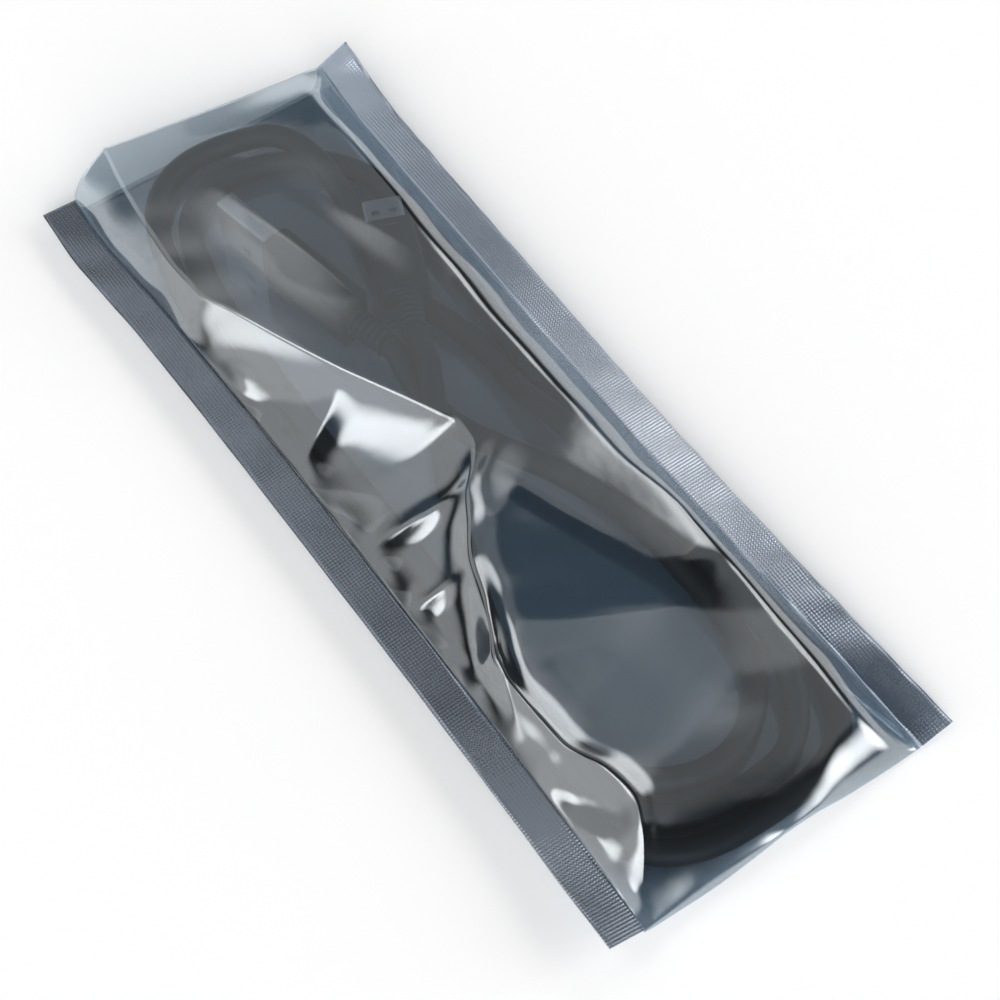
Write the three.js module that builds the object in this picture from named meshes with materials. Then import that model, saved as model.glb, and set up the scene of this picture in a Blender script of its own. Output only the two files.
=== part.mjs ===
// Open-top static shielding bag of metallised film, lying flat on a table with a coiled lead inside.
// Millimetres, +Z up. The origin is under the middle of the bag, on the table. +X is across the bag,
// and +Y runs along it towards the open mouth. The film is one sheet folded at the far end from the
// mouth and heat-sealed along both long sides.
import * as THREE from "three";

// Bag, as cut
const BAG_WIDTH = 80;
const BAG_LENGTH = 200;
const SEAL_WIDTH = 7.6;
const FILM = 0.12;
const TURN_UP = 3.8;

// Grid of the film, in steps
const STATIONS = 38;
const NOSE_STATIONS = [0, 0.5, 1.6, 3.4, 5.8, 9];
const FRONT_LEFT_STEPS = 9;
const FRONT_RIGHT_STEPS = 14;
const BACK_STEPS = 4;
const SEAL_STEPS = 2;

// Lead and its two plugs
const CLEARANCE = 0.3;
const LEAD_DIAMETER = 5;
const LEAD_SIDES = 10;
const LEAD_STEPS = 150;
const SHELL_WALL = 0.35;
const TONGUE_GAP = 0.4;
const TONGUE_SETBACK = 1;
const CONTACT_GAP = 0.2;
const CONTACT_THICKNESS = 0.15;

// The large plug stands on its edge, so its width is upright
const LARGE_PLUG = {
  name: "large_plug",
  width: 13.4,
  thickness: 7.4,
  length: 24,
  corner: 1.6,
  shellWidth: 12,
  shellThickness: 4.5,
  shellLength: 14.8,
  tongueThickness: 1.9,
  contacts: 4,
  contactWidth: 1.1,
  contactPitch: 2.4,
  contactLength: 9,
  reliefLength: 9,
};

// The small plug lies flat on two runs of the lead
const SMALL_PLUG = {
  name: "small_plug",
  width: 11,
  thickness: 6.4,
  length: 19,
  corner: 2.2,
  shellWidth: 8.4,
  shellThickness: 2.9,
  shellLength: 6.5,
  tongueThickness: 0.8,
  contacts: 5,
  contactWidth: 0.6,
  contactPitch: 1.2,
  contactLength: 4,
  reliefLength: 8,
};

// Heights that the contents set
const LEAD_RADIUS = LEAD_DIAMETER / 2;
const INNER_FLOOR = FILM + CLEARANCE;
const FIRST_LAYER = INNER_FLOOR + LEAD_RADIUS;
const LAYER_RISE = LEAD_DIAMETER + CLEARANCE;
const SECOND_LAYER = FIRST_LAYER + LAYER_RISE;
const GROOVE_LAYER = FIRST_LAYER + 0.87 * LAYER_RISE;
const LARGE_PLUG_MIDDLE = INNER_FLOOR + LARGE_PLUG.width / 2;
const SMALL_PLUG_MIDDLE = FIRST_LAYER + LEAD_RADIUS + CLEARANCE + SMALL_PLUG.thickness / 2;
const FILL = LARGE_PLUG_MIDDLE + LARGE_PLUG.width / 2 + CLEARANCE + FILM;

const HALF_WIDTH = BAG_WIDTH / 2;
const HALF_LENGTH = BAG_LENGTH / 2;

// Smooth monotone curve through [place, value] pairs, listed from the fold end to the mouth
function through(pairs) {
  const place = pairs.map((pair) => pair[0]);
  const value = pairs.map((pair) => pair[1]);
  const count = pairs.length;
  const secant = [];
  for (let i = 0; i < count - 1; i += 1) {
    secant.push((value[i + 1] - value[i]) / (place[i + 1] - place[i]));
  }
  const slope = [secant[0]];
  for (let i = 1; i < count - 1; i += 1) {
    const turns = secant[i - 1] * secant[i] <= 0;
    slope.push(turns ? 0 : (2 * secant[i - 1] * secant[i]) / (secant[i - 1] + secant[i]));
  }
  slope.push(secant[count - 2]);
  return (at) => {
    const t = Math.min(Math.max(at, place[0]), place[count - 1]);
    let i = 0;
    while (i < count - 2 && t > place[i + 1]) i += 1;
    const span = place[i + 1] - place[i];
    const u = (t - place[i]) / span;
    const rise = value[i] * (1 + 2 * u) * (1 - u) ** 2 + value[i + 1] * u * u * (3 - 2 * u);
    return rise + span * (slope[i] * u * (1 - u) ** 2 + slope[i + 1] * u * u * (u - 1));
  };
}

// Along the bag every place is a share of the half length: -1 at the fold, +1 at the mouth.
// Draw-in of each long edge, in mm, as the filled bag pulls its sides together
const drawInLeft = through([
  [-1, 0.5], [-0.7, 1.6], [-0.25, 2.2], [0.25, 2.3], [0.6, 1.9], [0.85, 0.8], [1, 1.6],
]);
const drawInRight = through([
  [-1, 0.5], [-0.8, 1.7], [-0.5, 3.2], [-0.1, 4], [0.3, 3.6], [0.75, 2.9], [1, 1.4],
]);

// Height of each seal at its inner and outer edge
const sealLeft = through([[-1, 7.4], [-0.6, 6.7], [0.2, 6], [0.7, 5.2], [1, 3.6]]);
const sealLeftEdge = through([[-1, 10.6], [-0.8, 7.4], [0.2, 5.4], [0.7, 4.8], [1, 4]]);
const sealRight = through([[-1, 0.6], [-0.9, 1.8], [-0.75, 4.3], [-0.4, 5.8], [0.4, 6.6], [1, 6]]);
const sealRightEdge = through([[-1, 2.6], [-0.75, 4.2], [-0.4, 5.6], [0.4, 6.8], [0.8, 7.2], [1, 9.5]]);

// Main ridge of the front film: its place across, as a share of the half width, and its height
const ridgeAcross = through([
  [-1, -0.765], [-0.94, -0.69], [-0.9, -0.61], [-0.86, -0.545], [-0.8, -0.49], [-0.74, -0.51],
  [-0.65, -0.6], [-0.53, -0.615], [-0.46, -0.62], [-0.4, -0.54], [-0.335, -0.46], [-0.26, -0.4],
  [-0.19, -0.29], [-0.13, -0.19], [-0.08, -0.07], [-0.04, -0.01], [0.01, 0], [0.04, -0.035],
  [0.13, -0.15], [0.26, -0.32], [0.37, -0.44], [0.49, -0.56], [0.56, -0.63], [0.65, -0.645],
  [0.75, -0.63], [0.9, -0.59], [1, -0.545],
]);
const ridgeHeight = through([
  [-1, 7.6], [-0.93, 9.2], [-0.85, 10.4], [-0.6, 11.2], [-0.4, 11.7], [-0.2, 12.6], [0, 13.2],
  [0.25, 13.6], [0.5, FILL - 0.6], [0.7, 13.2], [0.9, 13.5], [1, 14],
]);

// How the film sweeps from the left seal up to the ridge: over 1 is a hollow, under 1 a shoulder
const leftSweep = through([
  [-1, 0.8], [-0.8, 1], [-0.6, 0.9], [-0.45, 1.2], [-0.25, 1.9], [0, 2], [0.3, 1.7],
  [0.55, 1.05], [0.8, 0.75], [1, 0.6],
]);

// Crest over the right side of the coil, before the film drops to the right seal
const crestAcross = through([
  [-1, 0.6], [-0.9, 0.56], [-0.6, 0.58], [-0.4, 0.58], [-0.2, 0.5], [0.2, 0.48], [0.6, 0.52],
  [0.9, 0.55], [1, 0.59],
]);
const crestHeight = through([
  [-1, 8.2], [-0.85, 9.7], [-0.6, 10.4], [-0.4, 11.2], [-0.1, 12.1], [0.2, 13], [0.5, FILL], [0.7, 13.5],
  [0.9, 10.8], [1, 6.8],
]);

// The closed end: height of the fold across the bag, and how far from it the film reaches full height
const foldHeight = through([
  [-1, 7.3], [-0.65, 5], [-0.4, 3.5], [-0.15, 5], [0.02, 6.8], [0.16, 6.2], [0.38, 2.7],
  [0.7, 0.7], [1, 0.5],
]);
const foldReach = through([
  [-1, 9], [-0.7, 12], [-0.35, 11], [-0.1, 8], [0.05, 6], [0.25, 6], [0.45, 9], [0.75, 11], [1, 7],
]);

// Extra folds of the front film: ends as shares across and along, height and half width in mm
const FRONT_FOLDS = [
  { from: [-0.4, -0.25], to: [-0.72, -0.6], height: 1.5, width: 4.5 },
  { from: [-0.78, -0.09], to: [-0.16, -0.12], height: 1.2, width: 5 },
  { from: [-0.78, -0.25], to: [-0.44, -0.26], height: 1, width: 4.5 },
  { from: [-0.8, 0.12], to: [-0.34, 0.22], height: 0.9, width: 6 },
  { from: [-0.2, 0.8], to: [0.05, 0.3], height: 1.3, width: 11 },
  { from: [0.2, 0.62], to: [0.5, 0.3], height: 0.6, width: 10 },
];

// Where the front film steps down from over the plugs to over the lower coil: a line across the bag
const STEP = { from: [-0.03, -0.02], to: [0.45, -0.6], drop: 1.2, width: 7 };

function smooth(u) {
  const t = Math.min(Math.max(u, 0), 1);
  return t * t * (3 - 2 * t);
}

function mix(a, b, u) {
  return a + (b - a) * u;
}

// Point of a feature given as shares across and along the bag
function atShare([across, along]) {
  return [across * HALF_WIDTH, along * HALF_LENGTH];
}

// Distance along and off a line of the bag, the off distance positive on its right
function alongLine(x, y, from, to) {
  const [x0, y0] = atShare(from);
  const [x1, y1] = atShare(to);
  const length = Math.hypot(x1 - x0, y1 - y0);
  const dx = (x1 - x0) / length;
  const dy = (y1 - y0) / length;
  return { share: ((x - x0) * dx + (y - y0) * dy) / length, off: (x - x0) * dy - (y - y0) * dx };
}

// A soft-crested fold: tallest midway along, falling to nothing at its ends and its half width
function foldRise(x, y, fold) {
  const { share, off } = alongLine(x, y, fold.from, fold.to);
  if (share <= 0 || share >= 1 || Math.abs(off) >= fold.width) return 0;
  const crest = 1 - Math.abs(off) / fold.width;
  return fold.height * Math.sin(Math.PI * share) * crest * crest * (1.6 - 0.6 * crest);
}

function stepDrop(x, y) {
  const { share, off } = alongLine(x, y, STEP.from, STEP.to);
  const inside = smooth(share * 3) * smooth((1.15 - share) * 3);
  return STEP.drop * inside * (smooth(0.5 - off / (2 * STEP.width)) - 0.5);
}

// Seal edges and heights at one station
function edges(along) {
  const left = -HALF_WIDTH + drawInLeft(along);
  const right = HALF_WIDTH - drawInRight(along);
  return {
    along,
    y: along * HALF_LENGTH,
    left,
    right,
    innerLeft: left + SEAL_WIDTH,
    innerRight: right - SEAL_WIDTH,
    zLeft: sealLeft(along),
    zRight: sealRight(along),
    zLeftEdge: sealLeftEdge(along),
    zRightEdge: sealRightEdge(along),
  };
}

// Share of full height at a distance from the closed end: a round nose
function noseShare(x, along) {
  const across = x / HALF_WIDTH;
  const reach = foldReach(across);
  const u = Math.min((along + 1) * HALF_LENGTH / reach, 1);
  return Math.sqrt(1 - (1 - u) ** 2);
}

// Upper face of the front film
function frontHeight(x, edge) {
  const { along, innerLeft, innerRight, zLeft, zRight } = edge;
  const ridgeX = ridgeAcross(along) * HALF_WIDTH;
  const ridgeZ = ridgeHeight(along);
  const crestX = crestAcross(along) * HALF_WIDTH;
  const crestZ = crestHeight(along);
  let z;
  if (x < ridgeX) {
    const u = Math.max((x - innerLeft) / (ridgeX - innerLeft), 0);
    z = mix(zLeft, ridgeZ, u ** leftSweep(along));
  } else if (x < crestX) {
    z = mix(ridgeZ, crestZ, (x - ridgeX) / (crestX - ridgeX));
  } else {
    const u = Math.min((x - crestX) / (innerRight - crestX), 1);
    z = mix(crestZ, zRight, u * u * (1.9 - 0.9 * u));
  }
  const fromSeal = smooth(Math.min(x - innerLeft, innerRight - x) / 4);
  let extra = stepDrop(x, edge.y);
  for (const fold of FRONT_FOLDS) extra += foldRise(x, edge.y, fold);
  z += extra * fromSeal;
  return mix(foldHeight(x / HALF_WIDTH), z, noseShare(x, along)) + FILM;
}

// Lower face of the back film: flat on the table, turned up to the seals and round the closed end
function backHeight(x, edge) {
  const { innerLeft, innerRight, zLeft, zRight, along } = edge;
  const inFromSeal = Math.min(x - innerLeft, innerRight - x);
  const sealHeight = x < 0 ? zLeft : zRight;
  const rise = (sealHeight - FILM) * Math.max(1 - inFromSeal / TURN_UP, 0) ** 5;
  const lift = Math.max(foldHeight(x / HALF_WIDTH) - FILM, rise);
  return mix(lift, rise, noseShare(x, along));
}

// Height of the middle of a seal, at a place across it
function sealHeightAt(x, edge) {
  if (x < 0) return mix(edge.zLeftEdge, edge.zLeft, (x - edge.left) / SEAL_WIDTH);
  return mix(edge.zRight, edge.zRightEdge, (x - edge.innerRight) / SEAL_WIDTH);
}

// Even steps between the given stops, with so many steps in each stretch
function steps(stops, counts) {
  const places = [stops[0]];
  counts.forEach((count, i) => {
    for (let k = 1; k <= count; k += 1) places.push(mix(stops[i], stops[i + 1], k / count));
  });
  return places;
}

// Places across the back film, closer where it turns up to the seals
function backPlaces(innerLeft, innerRight) {
  const turn = [0, 0.08, 0.22, 0.45, 1].map((share) => share * TURN_UP);
  const flat = steps([innerLeft + TURN_UP, innerRight - TURN_UP], [BACK_STEPS]);
  const leftTurn = turn.map((inward) => innerLeft + inward);
  const rightTurn = turn.map((inward) => innerRight - inward).reverse();
  return [...leftTurn, ...flat.slice(1, -1), ...rightTurn];
}

// Rows of points across one station: the outside of both films, and the inside of the pocket
function stationRows(along) {
  const edge = edges(along);
  const { left, right, innerLeft, innerRight } = edge;
  const ridgeX = ridgeAcross(along) * HALF_WIDTH;
  const front = steps([innerLeft, ridgeX, innerRight], [FRONT_LEFT_STEPS, FRONT_RIGHT_STEPS]);
  const back = backPlaces(innerLeft, innerRight);
  const sealLeftPlaces = steps([left, innerLeft], [SEAL_STEPS]).slice(0, -1);
  const sealRightPlaces = steps([innerRight, right], [SEAL_STEPS]).slice(1);
  const outside = (places, height, side) => {
    const seal = (x) => [x, edge.y, sealHeightAt(x, edge) + side * FILM];
    const pocket = places.map((x, i) => {
      const atSeal = i === 0 || i === places.length - 1;
      return atSeal ? seal(x) : [x, edge.y, height(x, edge)];
    });
    return [...sealLeftPlaces.map(seal), ...pocket, ...sealRightPlaces.map(seal)];
  };
  const closed = along === -1;
  const insideY = closed ? edge.y + FILM : edge.y;
  const inside = (places, height, side) =>
    places.map((x, i) => {
      if (i === 0) return [x + FILM, insideY, edge.zLeft];
      if (i === places.length - 1) return [x - FILM, insideY, edge.zRight];
      const foldZ = foldHeight(x / HALF_WIDTH) + 0.3 * side * FILM;
      return [x, insideY, closed ? foldZ : height(x, edge) - side * FILM];
    });
  return {
    front: outside(front, frontHeight, 1),
    back: outside(back, backHeight, -1),
    insideFront: inside(front, frontHeight, 1),
    insideBack: inside(back, backHeight, -1),
  };
}

// Stations along the bag, closer round the closed end
function stationPlaces() {
  const nose = NOSE_STATIONS.slice(0, -1);
  const rest = steps([NOSE_STATIONS[NOSE_STATIONS.length - 1], BAG_LENGTH], [STATIONS]);
  return [...nose, ...rest].map((distance) => distance / HALF_LENGTH - 1);
}

// Collects points and triangles, and welds rows of points into sheets
class SheetMesh {
  constructor() {
    this.positions = [];
    this.triangles = [];
  }

  addRow(points) {
    return points.map((point) => {
      this.positions.push(...point);
      return this.positions.length / 3 - 1;
    });
  }

  triangle(a, b, c, flipped) {
    this.triangles.push(...(flipped ? [a, c, b] : [a, b, c]));
  }

  // Strip between two rows of equal length
  strip(row, next, flipped) {
    for (let j = 0; j + 1 < row.length; j += 1) {
      this.triangle(row[j], row[j + 1], next[j + 1], flipped);
      this.triangle(row[j], next[j + 1], next[j], flipped);
    }
  }

  // Sheet over all rows, facing up, or down when flipped
  sheet(rows, flipped) {
    for (let i = 0; i + 1 < rows.length; i += 1) this.strip(rows[i], rows[i + 1], flipped);
  }

  // Upright strip between two rows whose places across differ, facing the closed end, or the mouth
  // when flipped
  zip(lower, upper, flipped) {
    const across = (row, i) => (i < row.length ? this.positions[3 * row[i]] : Infinity);
    let i = 0;
    let j = 0;
    while (i + 1 < lower.length || j + 1 < upper.length) {
      if (across(lower, i + 1) <= across(upper, j + 1)) {
        this.triangle(lower[i], lower[i + 1], upper[j], flipped);
        i += 1;
      } else {
        this.triangle(lower[i], upper[j + 1], upper[j], flipped);
        j += 1;
      }
    }
  }

  geometry() {
    const made = new THREE.BufferGeometry();
    made.setAttribute("position", new THREE.Float32BufferAttribute(this.positions, 3));
    made.setIndex(this.triangles);
    made.computeVertexNormals();
    return made;
  }
}

// The rim of the open mouth: the edges of both films, and the cut ends of the seals
function closeMouth(mesh, front, back, insideFront, insideBack) {
  const pocketOf = (row) => row.slice(SEAL_STEPS, row.length - SEAL_STEPS);
  mesh.zip(insideFront, pocketOf(front), true);
  mesh.zip(pocketOf(back), insideBack, true);
  mesh.zip(back.slice(0, SEAL_STEPS + 1), front.slice(0, SEAL_STEPS + 1), true);
  mesh.zip(back.slice(-SEAL_STEPS - 1), front.slice(-SEAL_STEPS - 1), true);
  const leftTip = insideFront[0];
  const rightTip = insideFront[insideFront.length - 1];
  const atRight = (row) => row[row.length - 1 - SEAL_STEPS];
  mesh.triangle(back[SEAL_STEPS], leftTip, front[SEAL_STEPS], true);
  mesh.triangle(rightTip, atRight(back), atRight(front), true);
}

// The bag: front and back film, joined at the seals and the fold, open at the mouth
function pouchGeometry() {
  const mesh = new SheetMesh();
  const stations = stationPlaces().map(stationRows);
  const rows = (name) => stations.map((station) => mesh.addRow(station[name]));
  const front = rows("front");
  const back = rows("back");
  const insideFront = rows("insideFront");
  const insideBack = rows("insideBack");
  mesh.sheet(front, false);
  mesh.sheet(back, true);
  mesh.sheet(insideFront, true);
  mesh.sheet(insideBack, false);
  const edgeWall = (low, high) => mesh.sheet(low.map((index, i) => [index, high[i]]), false);
  const leftEdge = (sheetRows) => sheetRows.map((row) => row[0]);
  const rightEdge = (sheetRows) => sheetRows.map((row) => row[row.length - 1]);
  edgeWall(leftEdge(back), leftEdge(front));
  edgeWall(rightEdge(front), rightEdge(back));
  mesh.zip(back[0], front[0], false);
  mesh.zip(insideBack[0], insideFront[0], true);
  const last = stations.length - 1;
  closeMouth(mesh, front[last], back[last], insideFront[last], insideBack[last]);
  return mesh.geometry();
}

// Rounded rectangle about the origin, as a shape or as a hole
function roundedRectangle(width, height, radius, kind = THREE.Shape) {
  const w = width / 2;
  const h = height / 2;
  const outline = new kind();
  outline.moveTo(-w + radius, -h);
  outline.lineTo(w - radius, -h);
  outline.absarc(w - radius, -h + radius, radius, -Math.PI / 2, 0, false);
  outline.lineTo(w, h - radius);
  outline.absarc(w - radius, h - radius, radius, 0, Math.PI / 2, false);
  outline.lineTo(-w + radius, h);
  outline.absarc(-w + radius, h - radius, radius, Math.PI / 2, Math.PI, false);
  outline.lineTo(-w, -h + radius);
  outline.absarc(-w + radius, -h + radius, radius, Math.PI, 1.5 * Math.PI, false);
  return outline;
}

// Prism of a shape in the plane across a plug, from one place along it to another
function prismAlong(shape, from, to, bevel = 0) {
  const geometry = new THREE.ExtrudeGeometry(shape, {
    depth: to - from - 2 * bevel,
    bevelEnabled: bevel > 0,
    bevelThickness: bevel,
    bevelSize: bevel,
    bevelOffset: -bevel,
    bevelSegments: 1,
    curveSegments: 3,
  });
  geometry.translate(0, 0, -to + bevel);
  geometry.rotateX(Math.PI / 2);
  return geometry;
}

// In a plug's own frame its shell points along +Y, the moulded body starts at y = 0 and runs back
function plugBody(plug) {
  const shape = roundedRectangle(plug.width, plug.thickness, plug.corner);
  return prismAlong(shape, -plug.length, 0, 0.7);
}

function plugShell(plug) {
  const shape = roundedRectangle(plug.shellWidth, plug.shellThickness, 0.8);
  const wall = 2 * SHELL_WALL;
  const bore = roundedRectangle(plug.shellWidth - wall, plug.shellThickness - wall, 0.45, THREE.Path);
  shape.holes.push(bore);
  return prismAlong(shape, CLEARANCE, plug.shellLength);
}

function plugTongue(plug) {
  const width = plug.shellWidth - 2 * (SHELL_WALL + TONGUE_GAP);
  const shape = roundedRectangle(width, plug.tongueThickness, 0.2);
  return prismAlong(shape, CLEARANCE, plug.shellLength - TONGUE_SETBACK);
}

// Spring strip on the tongue's upper face, one of an even row
function plugContact(plug, index) {
  const strip = new THREE.BoxGeometry(plug.contactWidth, plug.contactLength, CONTACT_THICKNESS);
  const across = (index - (plug.contacts - 1) / 2) * plug.contactPitch;
  const tip = plug.shellLength - 2 * TONGUE_SETBACK;
  const height = plug.tongueThickness / 2 + CONTACT_GAP + CONTACT_THICKNESS / 2;
  return strip.translate(across, tip - plug.contactLength / 2, height);
}

// Ribbed collar behind the body, narrowing to the lead
function plugRelief(plug) {
  const wide = LEAD_RADIUS + 0.7;
  const narrow = LEAD_RADIUS + 0.25;
  const groove = 0.35;
  const ribs = 4;
  const front = -plug.length - CLEARANCE;
  const back = front - plug.reliefLength;
  const profile = [new THREE.Vector2(0, back), new THREE.Vector2(narrow, back)];
  for (let i = 1; i < 2 * ribs; i += 1) {
    const share = i / (2 * ribs);
    const radius = mix(narrow, wide, share) - (i % 2 ? groove : 0);
    profile.push(new THREE.Vector2(radius, mix(back, front, share)));
  }
  profile.push(new THREE.Vector2(wide, front), new THREE.Vector2(0, front));
  return new THREE.LatheGeometry(profile, 14);
}

const FILM_MATERIAL = new THREE.MeshStandardMaterial({
  color: 0x8c97a6,
  metalness: 0.85,
  roughness: 0.18,
  transparent: true,
  opacity: 0.55,
  side: THREE.DoubleSide,
});
const LEAD_MATERIAL = new THREE.MeshStandardMaterial({ color: 0x17181a, metalness: 0, roughness: 0.55 });
const BODY_MATERIAL = new THREE.MeshStandardMaterial({ color: 0x1a1b1d, metalness: 0, roughness: 0.6 });
const SHELL_MATERIAL = new THREE.MeshStandardMaterial({ color: 0xb9bcc0, metalness: 1, roughness: 0.3 });
const TONGUE_MATERIAL = new THREE.MeshStandardMaterial({ color: 0xe4e4e0, metalness: 0, roughness: 0.5 });
const CONTACT_MATERIAL = new THREE.MeshStandardMaterial({ color: 0xc9a04e, metalness: 1, roughness: 0.3 });

function namedMesh(name, geometry, material) {
  const mesh = new THREE.Mesh(geometry, material);
  mesh.name = name;
  return mesh;
}

// A plug at its place in the bag: middle of the body's front face, heading from +Y, and roll
function plugGroup(plug, place) {
  const group = new THREE.Group();
  group.add(namedMesh(`${plug.name}_body`, plugBody(plug), BODY_MATERIAL));
  group.add(namedMesh(`${plug.name}_shell`, plugShell(plug), SHELL_MATERIAL));
  group.add(namedMesh(`${plug.name}_tongue`, plugTongue(plug), TONGUE_MATERIAL));
  for (let i = 0; i < plug.contacts; i += 1) {
    group.add(namedMesh(`${plug.name}_contact_${i + 1}`, plugContact(plug, i), CONTACT_MATERIAL));
  }
  group.add(namedMesh(`${plug.name}_strain_relief`, plugRelief(plug), BODY_MATERIAL));
  group.position.set(...place.at);
  group.rotation.set(0, place.roll, place.heading, "ZYX");
  return group;
}

// Where the lead meets a plug: its end face, and the way it leads on from there
function leadEnd(plug, place) {
  const back = -plug.length - plug.reliefLength - 2 * CLEARANCE;
  const dx = -Math.sin(place.heading);
  const dy = Math.cos(place.heading);
  const [x, y, z] = place.at;
  const point = (along) => new THREE.Vector3(x + dx * along, y + dy * along, z);
  return [point(back), point(back - 2)];
}

// The lead's route from the large plug to the small one, as [x, y, z] in mm: across the coil, then
// two turns round it, then back across to the small plug
const LEAD_ROUTE = [
  [0.9, 19, 4.6], [1.2, 13, 3.4], [2.2, 7, 3.3], [3.8, 1, 4.3], [6.4, -6.5, 6.1],
  [9.6, -14.2, 7.5], [12.4, -21.5, 8], [14.9, -29, 7.8], [16.8, -36, 6.6], [18.1, -43, 4.9],
  [18.8, -50, 3.5], [18.9, -57, FIRST_LAYER], [18.3, -64, FIRST_LAYER], [16.2, -70.5, FIRST_LAYER],
  [12.3, -76, FIRST_LAYER], [7, -79.8, FIRST_LAYER], [0.5, -81.6, FIRST_LAYER],
  [-6, -80.8, FIRST_LAYER], [-12, -77.8, FIRST_LAYER], [-16.8, -73, FIRST_LAYER],
  [-20, -67, FIRST_LAYER], [-21.7, -60, FIRST_LAYER], [-22, -52, FIRST_LAYER],
  [-21.8, -44, FIRST_LAYER], [-21.4, -34, FIRST_LAYER], [-21.2, -22, FIRST_LAYER],
  [-21.1, -8, FIRST_LAYER], [-21.2, 6, FIRST_LAYER], [-21.3, 20, FIRST_LAYER],
  [-21.1, 34, FIRST_LAYER], [-20.6, 48, FIRST_LAYER], [-19.5, 60, FIRST_LAYER],
  [-17.7, 70, FIRST_LAYER], [-15.6, 77.2, FIRST_LAYER], [-12.4, 82.4, FIRST_LAYER],
  [-7.6, 85.4, FIRST_LAYER], [-1.9, 86.6, FIRST_LAYER], [4, 86.2, FIRST_LAYER],
  [9.6, 84.5, FIRST_LAYER], [14.8, 81.6, FIRST_LAYER], [19.6, 77.4, FIRST_LAYER],
  [23.2, 71.8, FIRST_LAYER], [25.1, 64.8, FIRST_LAYER], [25.6, 56.5, FIRST_LAYER],
  [25.4, 46, FIRST_LAYER], [24.9, 34, FIRST_LAYER], [24.1, 22, FIRST_LAYER],
  [23.2, 10, FIRST_LAYER], [22.7, -1, FIRST_LAYER], [21.9, -11, FIRST_LAYER],
  [21.8, -21, FIRST_LAYER], [22.6, -29.5, FIRST_LAYER], [24.2, -38, FIRST_LAYER],
  [25.5, -47, FIRST_LAYER], [26.3, -58, FIRST_LAYER], [26.7, -69, FIRST_LAYER],
  [26.1, -78.5, FIRST_LAYER], [23.6, -86, FIRST_LAYER], [19.2, -91, FIRST_LAYER],
  [13.2, -93.5, FIRST_LAYER], [6.3, -94.2, FIRST_LAYER], [-1, -94.2, FIRST_LAYER],
  [-8.5, -93.7, FIRST_LAYER], [-15.2, -91.9, FIRST_LAYER], [-20.9, -88.2, FIRST_LAYER],
  [-24.9, -82.7, FIRST_LAYER], [-26.9, -75, FIRST_LAYER], [-27.4, -65.5, FIRST_LAYER],
  [-27.3, -54, FIRST_LAYER], [-27, -42, FIRST_LAYER], [-26.7, -28, FIRST_LAYER],
  [-26.6, -12, FIRST_LAYER], [-26.6, 4, FIRST_LAYER], [-26.7, 20, FIRST_LAYER],
  [-26.6, 36, FIRST_LAYER], [-26.1, 50, FIRST_LAYER], [-25, 62, FIRST_LAYER],
  [-23.3, 72.5, FIRST_LAYER], [-20.9, 81.5, FIRST_LAYER], [-17.3, 88.6, FIRST_LAYER],
  [-12, 93.3, FIRST_LAYER], [-5.4, 95.5, FIRST_LAYER], [1.4, 95.1, 3.3], [7, 92.4, 5],
  [11.1, 88.4, 7.4], [13.8, 83.4, 8.5], [15.3, 78, 8.1], [16.1, 72, 6.3], [16, 66, 4.2],
  [15, 60.2, FIRST_LAYER], [13.4, 54.6, FIRST_LAYER], [12.1, 48.6, FIRST_LAYER],
  [12, 42.2, FIRST_LAYER], [13.3, 36, FIRST_LAYER], [15.4, 29.8, FIRST_LAYER],
  [17.1, 23, FIRST_LAYER], [17.9, 15.5, FIRST_LAYER], [17.6, 7.5, 3.5], [17.8, 0, 5.6],
  [18.6, -8, 7.4], [19.3, -16, 8.4], [20.1, -24, SECOND_LAYER], [21.4, -32, SECOND_LAYER],
  [22.5, -40, SECOND_LAYER], [22.9, -48.5, 7.9], [22.8, -57, GROOVE_LAYER], [22.4, -65, 7.4],
  [21.2, -72.5, 6.7], [18.9, -79, 5], [15.2, -84.2, 3.5], [10, -87.4, FIRST_LAYER],
  [3.7, -88.2, FIRST_LAYER], [-3, -88.1, FIRST_LAYER], [-9.4, -87, FIRST_LAYER],
  [-15.2, -84.3, 3.4], [-19.8, -79.7, 4.6], [-22.7, -73.5, 6.4], [-23.9, -66.5, 7.4],
  [-24.2, -59, GROOVE_LAYER], [-23.9, -52, 7.9], [-22.8, -45.5, 8.3], [-20.7, -39, 8.3],
  [-18.3, -32.5, 7.3], [-15.8, -25.8, 6.1], [-13.1, -19, 5.4], [-10.3, -12.2, 5.6],
  [-7.3, -5.5, 6.6], [-4.2, 1, 7.9], [-1.1, 7.2, 8.7], [1.9, 13.2, 8.95], [4.7, 19, 9.2],
];

// Middle of each body's front face, how it is turned about the upright, and its roll
const LARGE_PLACE = { at: [-5, 60.3, LARGE_PLUG_MIDDLE], heading: 0.18, roll: Math.PI / 2 };
const SMALL_PLACE = { at: [17.2, 51.7, SMALL_PLUG_MIDDLE], heading: -0.39, roll: 0 };

// The round lead, a polygon section swept along a smooth curve through the route
function leadGeometry() {
  const [start, startOn] = leadEnd(LARGE_PLUG, LARGE_PLACE);
  const [end, endOn] = leadEnd(SMALL_PLUG, SMALL_PLACE);
  const middle = LEAD_ROUTE.map((point) => new THREE.Vector3(...point));
  const route = new THREE.CatmullRomCurve3([start, startOn, ...middle, endOn, end], false, "centripetal");
  route.arcLengthDivisions = 2000;
  const section = new THREE.Shape();
  for (let i = 0; i < LEAD_SIDES; i += 1) {
    const angle = (2 * Math.PI * i) / LEAD_SIDES;
    const point = [LEAD_RADIUS * Math.cos(angle), LEAD_RADIUS * Math.sin(angle)];
    if (i) section.lineTo(...point);
    else section.moveTo(...point);
  }
  section.closePath();
  return new THREE.ExtrudeGeometry(section, { steps: LEAD_STEPS, bevelEnabled: false, extrudePath: route });
}

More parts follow.
